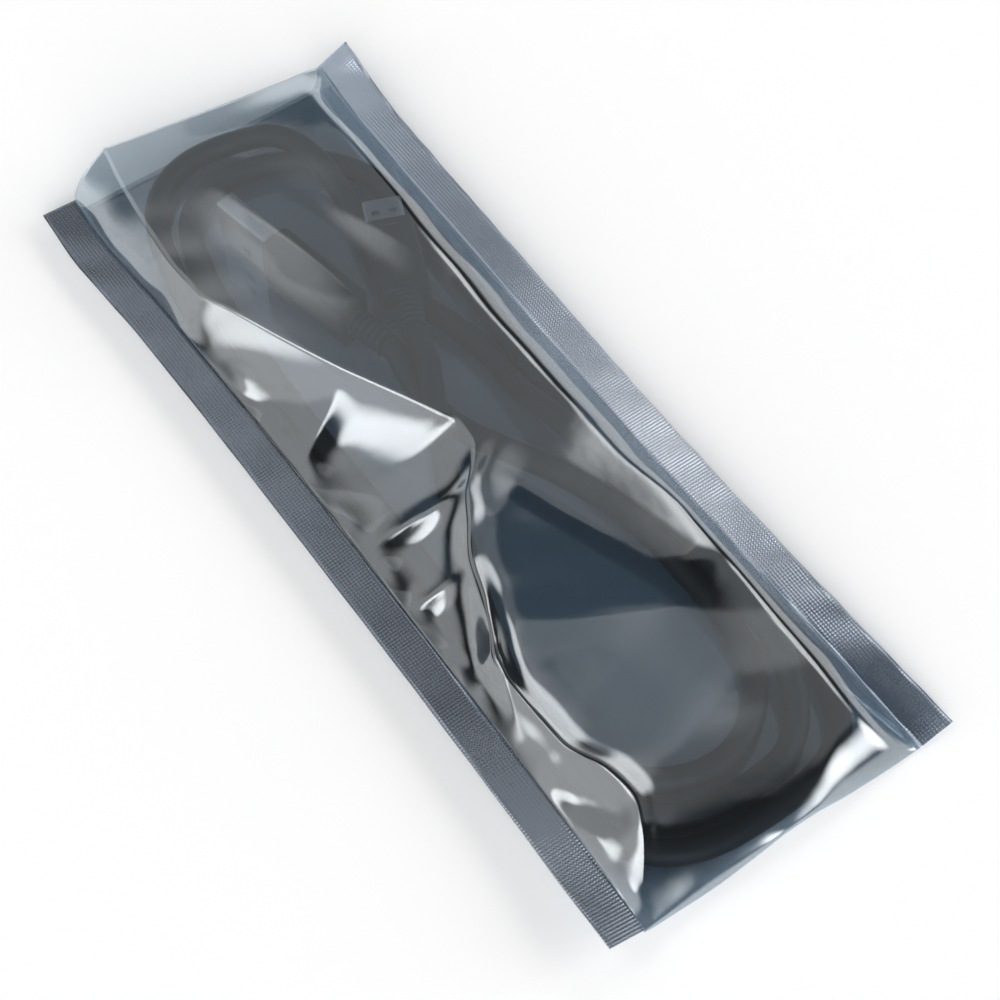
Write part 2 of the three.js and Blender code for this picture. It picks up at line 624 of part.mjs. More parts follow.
const bag = new THREE.Group();
bag.add(namedMesh("film_pouch", pouchGeometry(), FILM_MATERIAL));
bag.add(namedMesh("lead", leadGeometry(), LEAD_MATERIAL));
bag.add(plugGroup(LARGE_PLUG, LARGE_PLACE));
bag.add(plugGroup(SMALL_PLUG, SMALL_PLACE));

export default bag;
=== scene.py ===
"""Static shielding bag of metallised film, lying filled on a pale table.

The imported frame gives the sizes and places. This script makes the fine surfaces: the creased film,
the two embossed seal bands, the coiled lead and its two plugs, with their finishes.
"""
import logging
import math
from collections.abc import Callable, Iterator
from contextlib import contextmanager
from dataclasses import dataclass
from enum import Enum

import bmesh
import bpy
import numpy as np
from mathutils import Matrix, Vector


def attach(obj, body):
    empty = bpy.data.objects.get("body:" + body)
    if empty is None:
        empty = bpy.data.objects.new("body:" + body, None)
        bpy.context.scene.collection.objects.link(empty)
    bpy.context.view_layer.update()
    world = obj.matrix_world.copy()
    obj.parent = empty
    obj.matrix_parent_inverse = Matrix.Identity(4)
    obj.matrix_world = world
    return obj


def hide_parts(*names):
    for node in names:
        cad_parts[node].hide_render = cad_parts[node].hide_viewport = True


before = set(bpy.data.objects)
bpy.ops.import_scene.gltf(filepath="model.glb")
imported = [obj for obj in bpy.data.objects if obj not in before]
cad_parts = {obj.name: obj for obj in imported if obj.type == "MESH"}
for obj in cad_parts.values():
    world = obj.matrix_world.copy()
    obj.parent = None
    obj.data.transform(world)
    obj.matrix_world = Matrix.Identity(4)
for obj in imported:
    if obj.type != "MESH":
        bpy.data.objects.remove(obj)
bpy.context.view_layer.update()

LOG = logging.getLogger("shielding_bag")
MM = 0.001
BODY = "root"

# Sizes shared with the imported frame, in millimetres
BAG_WIDTH = 80.0
BAG_LENGTH = 200.0
HALF_WIDTH = BAG_WIDTH / 2
HALF_LENGTH = BAG_LENGTH / 2
SEAL_WIDTH = 7.6
FILM = 0.12
TURN_UP = 3.8
CLEARANCE = 0.3
LEAD_DIAMETER = 5.0
LEAD_RADIUS = LEAD_DIAMETER / 2
FIRST_LAYER = FILM + CLEARANCE + LEAD_RADIUS
LAYER_RISE = LEAD_DIAMETER + CLEARANCE
SECOND_LAYER = FIRST_LAYER + LAYER_RISE
GROOVE_LAYER = FIRST_LAYER + 0.87 * LAYER_RISE
LARGE_PLUG_WIDTH = 13.4
SMALL_PLUG_THICKNESS = 6.4
FILL = FILM + CLEARANCE + LARGE_PLUG_WIDTH + CLEARANCE + FILM

Array = np.ndarray


class Slot(Enum):
    """Material slot names of the record, listed beside the plug's parts."""

    FILM = "shielding_film"
    JACKET = "lead_jacket"
    MOULDING = "plug_moulding"
    SHELL = "plug_shell"
    TONGUE = "plug_tongue"
    CONTACTS = "contact_plating"


def smooth(share: Array | float) -> Array:
    """Ease a share from 0 to 1, flat at both ends.

    Args:
        share: Value or array, clamped to 0 to 1.

    Returns:
        The eased value.
    """
    t = np.clip(share, 0.0, 1.0)
    return t * t * (3 - 2 * t)


def mix(start: Array | float, end: Array | float, share: Array | float) -> Array:
    """Go from one value to another by a share."""
    return start + (end - start) * share


@dataclass(frozen=True)
class ShapeCurve:
    """Smooth monotone curve through pairs of place and value."""

    pairs: tuple[tuple[float, float], ...]

    def __call__(self, at: Array | float) -> Array:
        """Give the value at each place, held at the end values beyond both ends.

        Args:
            at: Places, as a value or an array.

        Returns:
            The values, in the same shape.
        """
        place, value = np.array(self.pairs, dtype=float).T
        secant = np.diff(value) / np.diff(place)
        before, after = secant[:-1], secant[1:]
        same_way = before * after > 0
        total = np.where(same_way, before + after, 1.0)
        inner = np.where(same_way, 2 * before * after / total, 0.0)
        slope = np.concatenate(([secant[0]], inner, [secant[-1]]))
        t = np.clip(at, place[0], place[-1])
        i = np.clip(np.searchsorted(place, t, side="left") - 1, 0, len(place) - 2)
        span = place[i + 1] - place[i]
        u = (t - place[i]) / span
        rise = value[i] * (1 + 2 * u) * (1 - u) ** 2 + value[i + 1] * u * u * (3 - 2 * u)
        return rise + span * (slope[i] * u * (1 - u) ** 2 + slope[i + 1] * u * u * (u - 1))


def waves(x: Array, seed: int, pitch: float, count: int = 6) -> Array:
    """Sum of sines of near pitches, a smooth noise along one line, about -1 to 1.

    Args:
        x: Places along the line, in millimetres.
        seed: Picks the phases.
        pitch: Mean wave length in millimetres.
        count: Number of sines.

    Returns:
        The noise at each place.
    """
    rng = np.random.default_rng(seed)
    total = np.zeros_like(x)
    for _ in range(count):
        length = pitch * rng.uniform(0.6, 1.6)
        total += np.sin(2 * math.pi * (x / length + rng.uniform()))
    return total / math.sqrt(count)


@dataclass(frozen=True)
class Fold:
    """Soft-crested fold of the film between two places given as shares across and along the bag."""

    start: tuple[float, float]
    end: tuple[float, float]
    height: float
    width: float

    def along_and_off(self, x: Array, y: Array) -> tuple[Array, Array]:
        """Share along the fold's line, and distance off it, positive on its right."""
        x0, y0 = self.start[0] * HALF_WIDTH, self.start[1] * HALF_LENGTH
        x1, y1 = self.end[0] * HALF_WIDTH, self.end[1] * HALF_LENGTH
        length = math.hypot(x1 - x0, y1 - y0)
        dx, dy = (x1 - x0) / length, (y1 - y0) / length
        return ((x - x0) * dx + (y - y0) * dy) / length, (x - x0) * dy - (y - y0) * dx

    def rise(self, x: Array, y: Array) -> Array:
        """Height that the fold adds at each place, in millimetres."""
        share, off = self.along_and_off(x, y)
        crest = np.clip(1 - np.abs(off) / self.width, 0, 1)
        ends = np.sin(math.pi * np.clip(share, 0, 1))
        return self.height * ends * crest * crest * (1.6 - 0.6 * crest)


@dataclass(frozen=True)
class FilmForm:
    """Heights of the film, as curves over the share along the bag: -1 at the fold, +1 at the mouth."""

    draw_in_left: ShapeCurve = ShapeCurve((
        (-1, 0.5), (-0.7, 1.6), (-0.25, 2.2), (0.25, 2.3), (0.6, 1.9), (0.85, 0.8), (1, 1.6)))
    draw_in_right: ShapeCurve = ShapeCurve((
        (-1, 0.5), (-0.8, 1.7), (-0.5, 3.2), (-0.1, 4), (0.3, 3.6), (0.75, 2.9), (1, 1.4)))
    seal_left: ShapeCurve = ShapeCurve(((-1, 7.4), (-0.6, 6.7), (0.2, 6), (0.7, 5.2), (1, 3.6)))
    seal_left_edge: ShapeCurve = ShapeCurve((
        (-1, 10.6), (-0.8, 7.4), (0.2, 5.4), (0.7, 4.8), (1, 4)))
    seal_right: ShapeCurve = ShapeCurve((
        (-1, 0.6), (-0.9, 1.8), (-0.75, 4.3), (-0.4, 5.8), (0.4, 6.6), (1, 6)))
    seal_right_edge: ShapeCurve = ShapeCurve((
        (-1, 2.6), (-0.75, 4.2), (-0.4, 5.6), (0.4, 6.8), (0.8, 7.2), (1, 9.5)))
    ridge_across: ShapeCurve = ShapeCurve((
        (-1, -0.765), (-0.94, -0.69), (-0.9, -0.61), (-0.86, -0.545), (-0.8, -0.49), (-0.74, -0.51),
        (-0.65, -0.6), (-0.53, -0.615), (-0.46, -0.62), (-0.4, -0.54), (-0.335, -0.46),
        (-0.26, -0.4), (-0.19, -0.29), (-0.13, -0.19), (-0.08, -0.07), (-0.04, -0.01), (0.01, 0),
        (0.04, -0.035), (0.13, -0.15), (0.26, -0.32), (0.37, -0.44), (0.49, -0.56), (0.56, -0.63),
        (0.65, -0.645), (0.75, -0.63), (0.9, -0.59), (1, -0.545)))
    ridge_height: ShapeCurve = ShapeCurve((
        (-1, 7.6), (-0.93, 9.2), (-0.85, 10.4), (-0.6, 11.2), (-0.4, 11.7), (-0.2, 12.6), (0, 13.2),
        (0.25, 13.6), (0.5, FILL - 0.6), (0.7, 13.2), (0.9, 13.5), (1, 14)))
    left_sweep: ShapeCurve = ShapeCurve((
        (-1, 0.8), (-0.8, 1), (-0.6, 0.9), (-0.45, 1.2), (-0.25, 1.9), (0, 2), (0.3, 1.7),
        (0.55, 1.05), (0.8, 0.75), (1, 0.6)))
    crest_across: ShapeCurve = ShapeCurve((
        (-1, 0.6), (-0.9, 0.56), (-0.6, 0.58), (-0.4, 0.58), (-0.2, 0.5), (0.2, 0.48), (0.6, 0.52),
        (0.9, 0.55), (1, 0.59)))
    crest_height: ShapeCurve = ShapeCurve((
        (-1, 8.2), (-0.85, 9.7), (-0.6, 10.4), (-0.4, 11.2), (-0.1, 12.1), (0.2, 13), (0.5, FILL),
        (0.7, 13.5), (0.9, 10.8), (1, 6.8)))
    fold_height: ShapeCurve = ShapeCurve((
        (-1, 7.3), (-0.65, 5), (-0.4, 3.5), (-0.15, 5), (0.02, 6.8), (0.16, 6.2), (0.38, 2.7),
        (0.7, 0.7), (1, 0.5)))
    fold_reach: ShapeCurve = ShapeCurve((
        (-1, 9), (-0.7, 12), (-0.35, 11), (-0.1, 8), (0.05, 6), (0.25, 6), (0.45, 9), (0.75, 11),
        (1, 7)))
    folds: tuple[Fold, ...] = (
        Fold((-0.4, -0.25), (-0.72, -0.6), 1.5, 4.5),
        Fold((-0.78, -0.09), (-0.16, -0.12), 1.2, 5),
        Fold((-0.78, -0.25), (-0.44, -0.26), 1, 4.5),
        Fold((-0.8, 0.12), (-0.34, 0.22), 0.9, 6),
        Fold((-0.2, 0.8), (0.05, 0.3), 1.3, 11),
        Fold((0.2, 0.62), (0.5, 0.3), 0.6, 10),
    )
    step: Fold = Fold((-0.03, -0.02), (0.45, -0.6), 1.2, 7)

    def left(self, along: Array) -> Array:
        """Outer edge of the left seal across the bag, in millimetres."""
        return -HALF_WIDTH + self.draw_in_left(along)

    def right(self, along: Array) -> Array:
        """Outer edge of the right seal across the bag, in millimetres."""
        return HALF_WIDTH - self.draw_in_right(along)

    def inner_left(self, along: Array) -> Array:
        """Inner edge of the left seal."""
        return self.left(along) + SEAL_WIDTH

    def inner_right(self, along: Array) -> Array:
        """Inner edge of the right seal."""
        return self.right(along) - SEAL_WIDTH

    def nose_share(self, x: Array, along: Array) -> Array:
        """Share of full height near the closed end, as a round nose."""
        reach = self.fold_reach(x / HALF_WIDTH)
        u = np.clip((along + 1) * HALF_LENGTH / reach, 0, 1)
        return np.sqrt(1 - (1 - u) ** 2)

    def step_drop(self, x: Array, y: Array) -> Array:
        """Drop of the film from over the plugs to over the lower coil."""
        share, off = self.step.along_and_off(x, y)
        inside = smooth(share * 3) * smooth((1.15 - share) * 3)
        return self.step.height * inside * (smooth(0.5 - off / (2 * self.step.width)) - 0.5)

    def front(self, x: Array, along: Array) -> Array:
        """Height of the front film's upper face.

        Args:
            x: Places across the bag, in millimetres.
            along: Share along the bag, in the same shape.

        Returns:
            Heights over the table, in millimetres.
        """
        y = along * HALF_LENGTH
        left, right = self.inner_left(along), self.inner_right(along)
        ridge_x = self.ridge_across(along) * HALF_WIDTH
        crest_x = self.crest_across(along) * HALF_WIDTH
        ridge_z, crest_z = self.ridge_height(along), self.crest_height(along)
        on_left = np.clip((x - left) / (ridge_x - left), 0, 1) ** self.left_sweep(along)
        on_top = (x - ridge_x) / (crest_x - ridge_x)
        u = np.clip((x - crest_x) / (right - crest_x), 0, 1)
        on_right = mix(crest_z, self.seal_right(along), u * u * (1.9 - 0.9 * u))
        z = np.where(x < ridge_x, mix(self.seal_left(along), ridge_z, on_left),
                     np.where(x < crest_x, mix(ridge_z, crest_z, on_top), on_right))
        from_seal = smooth(np.minimum(x - left, right - x) / 4)
        extra = self.step_drop(x, y)
        for fold in self.folds:
            extra = extra + fold.rise(x, y)
        z = z + extra * from_seal
        return mix(self.fold_height(x / HALF_WIDTH), z, self.nose_share(x, along)) + FILM

    def back(self, x: Array, along: Array) -> Array:
        """Height of the back film's lower face: flat on the table, turned up to seals and fold."""
        left, right = self.inner_left(along), self.inner_right(along)
        in_from_seal = np.minimum(x - left, right - x)
        seal = np.where(x < 0, self.seal_left(along), self.seal_right(along))
        rise = (seal - FILM) * np.clip(1 - in_from_seal / TURN_UP, 0, 1) ** 5
        lift = np.maximum(self.fold_height(x / HALF_WIDTH) - FILM, rise)
        return mix(lift, rise, self.nose_share(x, along))


def deselect() -> None:
    """Clear the selection, so that an operator acts only on what is made next."""
    bpy.ops.object.select_all(action="DESELECT")


@contextmanager
def editing(piece: bpy.types.Object) -> Iterator[bmesh.types.BMesh]:
    """Edit mode on one piece, with its mesh at hand.

    Args:
        piece: The object to edit.

    Yields:
        The piece's edit mesh, with nothing selected.
    """
    deselect()
    piece.select_set(True)
    bpy.context.view_layer.objects.active = piece
    bpy.ops.object.mode_set(mode="EDIT")
    bpy.ops.mesh.select_all(action="DESELECT")
    try:
        yield bmesh.from_edit_mesh(piece.data)
    finally:
        bpy.ops.object.mode_set(mode="OBJECT")


def select_faces(mesh: bmesh.types.BMesh, test: Callable[[bmesh.types.BMFace], bool]) -> None:
    """Select the faces that pass a test, in face mode."""
    bpy.ops.mesh.select_mode(type="FACE")
    for face in mesh.faces:
        face.select_set(bool(test(face)))


def select_long_edges(mesh: bmesh.types.BMesh) -> None:
    """Select the edges that run along Y, in edge mode."""
    bpy.ops.mesh.select_mode(type="EDGE")
    for edge in mesh.edges:
        run = edge.verts[0].co - edge.verts[1].co
        edge.select_set(abs(run.y) > 0.9 * run.length)


def finish_piece(piece: bpy.types.Object, material: bpy.types.Material) -> None:
    """Dress a piece and hang it on the body that it moves with."""
    piece.data.materials.clear()
    piece.data.materials.append(material)
    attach(piece, BODY)
    LOG.info("%s: %d faces", piece.name, len(piece.data.polygons))


def apply_modifiers(piece: bpy.types.Object) -> None:
    """Apply every modifier of a piece, first to last."""
    deselect()
    piece.select_set(True)
    bpy.context.view_layer.objects.active = piece
    for modifier in list(piece.modifiers):
        bpy.ops.object.modifier_apply(modifier=modifier.name)


def sheet_from(name: str, places: Array) -> bpy.types.Object:
    """Make a grid primitive and lay its points on a sheet.

    Args:
        name: The piece's name.
        places: Array of rows by columns by 3, in millimetres.

    Returns:
        The new object, at the origin.
    """
    rows, columns = places.shape[:2]
    deselect()
    bpy.ops.mesh.primitive_grid_add(x_subdivisions=columns - 1, y_subdivisions=rows - 1, size=2)
    piece = bpy.context.object
    piece.name = name
    piece.data.name = name
    count = len(piece.data.vertices)
    start = np.empty(count * 3)
    piece.data.vertices.foreach_get("co", start)
    start = start.reshape(-1, 3)
    column = np.rint((start[:, 0] + 1) / 2 * (columns - 1)).astype(int)
    row = np.rint((start[:, 1] + 1) / 2 * (rows - 1)).astype(int)
    piece.data.vertices.foreach_set("co", (places[row, column] * MM).ravel())
    piece.data.update()
    return piece


def thicken(piece: bpy.types.Object, wall: float) -> None:
    """Give a sheet a wall under its upper face and smooth it."""
    solid = piece.modifiers.new("wall", "SOLIDIFY")
    solid.thickness = wall * MM
    solid.offset = -1
    apply_modifiers(piece)
    bpy.ops.object.shade_smooth()


class Value:
    """A number socket that can be used in expressions, each adding a Math node."""

    def __init__(self, recipe: "Recipe", socket: bpy.types.NodeSocket) -> None:
        """Wrap a socket of a recipe's node tree."""
        self.recipe = recipe
        self.socket = socket

    def _maths(self, operation: str, *values: "Value | float") -> "Value":
        """Add a Math node on this value and others."""
        return self.recipe.node("ShaderNodeMath", {"operation": operation}, dict(enumerate(values)))

    def __add__(self, other: "Value | float") -> "Value":
        """Sum."""
        return self._maths("ADD", self, other)

    def __sub__(self, other: "Value | float") -> "Value":
        """Difference."""
        return self._maths("SUBTRACT", self, other)

    def __mul__(self, other: "Value | float") -> "Value":
        """Product."""
        return self._maths("MULTIPLY", self, other)

    def __truediv__(self, other: "Value | float") -> "Value":
        """Quotient."""
        return self._maths("DIVIDE", self, other)

    __radd__ = __add__
    __rmul__ = __mul__


class Recipe:
    """Node tree of one material, with Principled as its shader."""

    def __init__(self, name: str) -> None:
        """Make an empty material of this name."""
        self.material = bpy.data.materials.new(name)
        self.material.use_nodes = True
        self.tree = self.material.node_tree
        self.shader = self.tree.nodes["Principled BSDF"]
        self.place = self.node("ShaderNodeTexCoord", {}, {}, "Object")

    @classmethod
    def on_tree(cls, tree: bpy.types.NodeTree) -> "Recipe":
        """Use a tree that has no Principled shader, such as the world's."""
        recipe = cls.__new__(cls)
        recipe.tree = tree
        return recipe

    def node(self, kind: str, settings: dict, inputs: dict, output: str | int = 0) -> Value:
        """Add a node.

        Args:
            kind: Node type.
            settings: Attributes set first.
            inputs: Values or links by socket name or number.
            output: Name or number of the output that is returned.

        Returns:
            The chosen output.
        """
        made = self.tree.nodes.new(kind)
        for key, value in settings.items():
            setattr(made, key, value)
        for key, value in inputs.items():
            self.link(made.inputs[key], value)
        return Value(self, made.outputs[output])

    def link(self, socket: bpy.types.NodeSocket, value: "Value | float | tuple") -> None:
        """Feed a socket from a value or a constant."""
        if isinstance(value, Value):
            self.tree.links.new(value.socket, socket)
        else:
            socket.default_value = value

    def set(self, **inputs: "Value | float | tuple") -> None:
        """Feed the shader's sockets, named with underscores for spaces."""
        for key, value in inputs.items():
            self.link(self.shader.inputs[key.replace("_", " ")], value)

    def noise(self, scale: float, detail: float = 2.0, at: Value | None = None) -> Value:
        """Noise of a scale per metre, from 0 to 1."""
        inputs = {"Vector": at or self.place, "Scale": scale, "Detail": detail}
        return self.node("ShaderNodeTexNoise", {}, inputs, "Fac")

    def stretched(self, scale: tuple[float, float, float], turn: float = 0.0) -> Value:
        """Object coordinates, turned about the upright and then scaled."""
        turned = self.node("ShaderNodeMapping", {}, {"Vector": self.place, "Rotation": (0, 0, turn)})
        return self.node("ShaderNodeMapping", {}, {"Vector": turned, "Scale": scale})

    def ease(self, value: Value, low: float, high: float) -> Value:
        """Ease from 0 at the low value to 1 at the high one."""
        settings = {"interpolation_type": "SMOOTHSTEP"}
        inputs = {"Value": value, "From Min": low, "From Max": high}
        return self.node("ShaderNodeMapRange", settings, inputs)

    def part(self, at: Value, axis: str) -> Value:
        """One coordinate of a vector."""
        return self.node("ShaderNodeSeparateXYZ", {}, {"Vector": at}, axis)

    def blend(self, share: Value, low: tuple, high: tuple) -> Value:
        """Colour between two, by a share."""
        inputs = {"Factor": share, 6: (*low, 1), 7: (*high, 1)}
        settings = {"data_type": "RGBA"}
        return self.node("ShaderNodeMix", settings, inputs, 2)

    def shade(self, top: Value, share: Value, low: tuple, high: tuple, peak: tuple) -> Value:
        """Colour between two by a share, and towards a third by a share of its own."""
        inputs = {"Factor": top, 6: self.blend(share, low, high), 7: (*peak, 1)}
        return self.node("ShaderNodeMix", {"data_type": "RGBA"}, inputs, 2)

    def see_through(self, share: Value | float, colour: tuple[float, float, float]) -> None:
        """Let light through beside the shader.

        Args:
            share: Share of the shader, against clear film.
            colour: Cast that the clear film gives what shows through it.
        """
        clear = self.node("ShaderNodeBsdfTransparent", {}, {"Color": (*colour, 1)})
        body = Value(self, self.shader.outputs[0])
        both = self.node("ShaderNodeMixShader", {}, {0: share, 1: clear, 2: body})
        self.tree.links.new(both.socket, self.tree.nodes["Material Output"].inputs["Surface"])

    def bump(self, height: Value, distance: float) -> None:
        """Raise the surface by a height from 0 to 1, over a distance in millimetres."""
        inputs = {"Height": height, "Distance": distance * MM, "Strength": 1.0}
        self.set(Normal=self.node("ShaderNodeBump", {}, inputs, "Normal"))


@dataclass(frozen=True)
class ShieldingFilm:
    """See-through film with a thin mirror-like metal layer, and a blue cast in what shows through."""

    name: str = "shielding_film"
    colour: tuple[float, float, float] = (0.68, 0.68, 0.675)
    colour_dark: tuple[float, float, float] = (0.57, 0.57, 0.565)
    through: tuple[float, float, float] = (0.875, 0.945, 1.0)
    metal_share: float = 0.34
    roughness: float = 0.05
    roughness_spread: float = 0.06
    cloud_scale: float = 60
    grain_scale: float = 900
    wave_scale: float = 110
    wave_depth: float = 0.05

    def material(self) -> bpy.types.Material:
        """Make the film's material."""
        recipe = Recipe(self.name)
        cloud = recipe.noise(self.cloud_scale, 3)
        grain = recipe.noise(self.grain_scale, 2)
        recipe.set(
            Base_Color=recipe.blend(cloud, self.colour_dark, self.colour),
            Metallic=1.0,
            Roughness=self.roughness + grain * self.roughness_spread,
        )
        recipe.bump(recipe.noise(self.wave_scale, 2), self.wave_depth)
        recipe.see_through(self.metal_share, self.through)
        return recipe.material


@dataclass(frozen=True)
class SealBand:
    """Two films fused by a knurled hot bar: denser and hazier, with a deeper, rougher knurl over one
    stretch where it was pressed hard, and a painted highlight over that same stretch, a lighter colour.
    """

    name: str
    # Where along the band, how far and how strongly the knurl is deepened and a painted highlight
    # lightens the colour
    press_and_highlight_middle: float
    press_and_highlight_reach: float
    press_and_highlight_strength: float
    metal_share: float
    roughness: float
    colour: tuple[float, float, float]
    colour_dark: tuple[float, float, float]
    # Colour of the painted highlight over the pressed stretch
    colour_painted_highlight: tuple[float, float, float] = (0.9, 0.93, 0.98)
    through: tuple[float, float, float] = (0.86, 0.93, 1.0)
    knurl_pitch: float = 0.95
    knurl_depth: float = 0.2
    knurl_light: float = 0.15
    # How softly that stretch fades out, and within what distance of its middle it is full
    press_and_highlight_fade: float = 16
    press_and_highlight_full: float = 8
    cloud_scale: float = 140
    grain_scale: float = 2500

    def material(self) -> bpy.types.Material:
        """Make the band's material."""
        recipe = Recipe(self.name)
        turns = 2 * math.pi / (self.knurl_pitch * MM)
        both = []
        for turn in (math.radians(45), math.radians(-45)):
            at = recipe.part(recipe.stretched((1, 1, 1), turn), "X")
            both.append(recipe.node("ShaderNodeMath", {"operation": "SINE"}, {0: at * turns}))
        knurl = (both[0] * both[1]) * 0.5 + 0.5
        along = recipe.part(recipe.place, "Y") / MM
        off = recipe.node("ShaderNodeMath", {"operation": "ABSOLUTE"}, {0: along - self.press_and_highlight_middle})
        cloud = recipe.noise(self.cloud_scale, 2)
        edge = self.press_and_highlight_reach + self.press_and_highlight_fade
        # Share of the stretch with a deeper, rougher knurl and a painted highlight
        press_and_highlight = recipe.ease(off + cloud * self.press_and_highlight_fade, edge, self.press_and_highlight_full) * self.press_and_highlight_strength
        grain = recipe.noise(self.grain_scale, 2)
        recipe.set(
            # The base colour goes lighter over that stretch: a painted highlight
            Base_Color=recipe.shade(press_and_highlight, cloud, self.colour_dark, self.colour, self.colour_painted_highlight),
            Metallic=1.0,
            Roughness=self.roughness + press_and_highlight * 0.12 + grain * 0.06,
        )
        recipe.bump(knurl * (self.knurl_light + press_and_highlight) + grain * 0.1, self.knurl_depth)
        recipe.see_through(self.metal_share, self.through)
        return recipe.material


@dataclass(frozen=True)
class Moulding:
    """Black moulded plastic with a fine spark-eroded grain."""

    name: str
    colour: tuple[float, float, float] = (0.016, 0.016, 0.017)
    colour_pale: tuple[float, float, float] = (0.03, 0.03, 0.032)
    roughness: float = 0.5
    grain: float = 3500
    depth: float = 0.02

    def material(self) -> bpy.types.Material:
        """Make the plastic's material."""
        recipe = Recipe(self.name)
        rubbed = recipe.noise(90, 3)
        grain = recipe.noise(self.grain, 3)
        recipe.set(
            Base_Color=recipe.blend(rubbed, self.colour, self.colour_pale),
            Roughness=self.roughness + rubbed * 0.15,
        )
        recipe.bump(grain, self.depth)
        return recipe.material


@dataclass(frozen=True)
class PlatedSteel:
    """Rolled sheet steel with a bright plating and faint rolling lines."""

    name: str = "plug_shell"
    colour: tuple[float, float, float] = (0.55, 0.55, 0.56)
    colour_pale: tuple[float, float, float] = (0.7, 0.7, 0.7)

    def material(self) -> bpy.types.Material:
        """Make the steel's material."""
        recipe = Recipe(self.name)
        lines = recipe.noise(1, 3, recipe.stretched((4000, 150, 4000)))
        recipe.set(
            Base_Color=recipe.blend(lines, self.colour, self.colour_pale),
            Metallic=1.0,
            Roughness=0.26 + lines * 0.16,
        )
        recipe.bump(lines, 0.01)
        return recipe.material


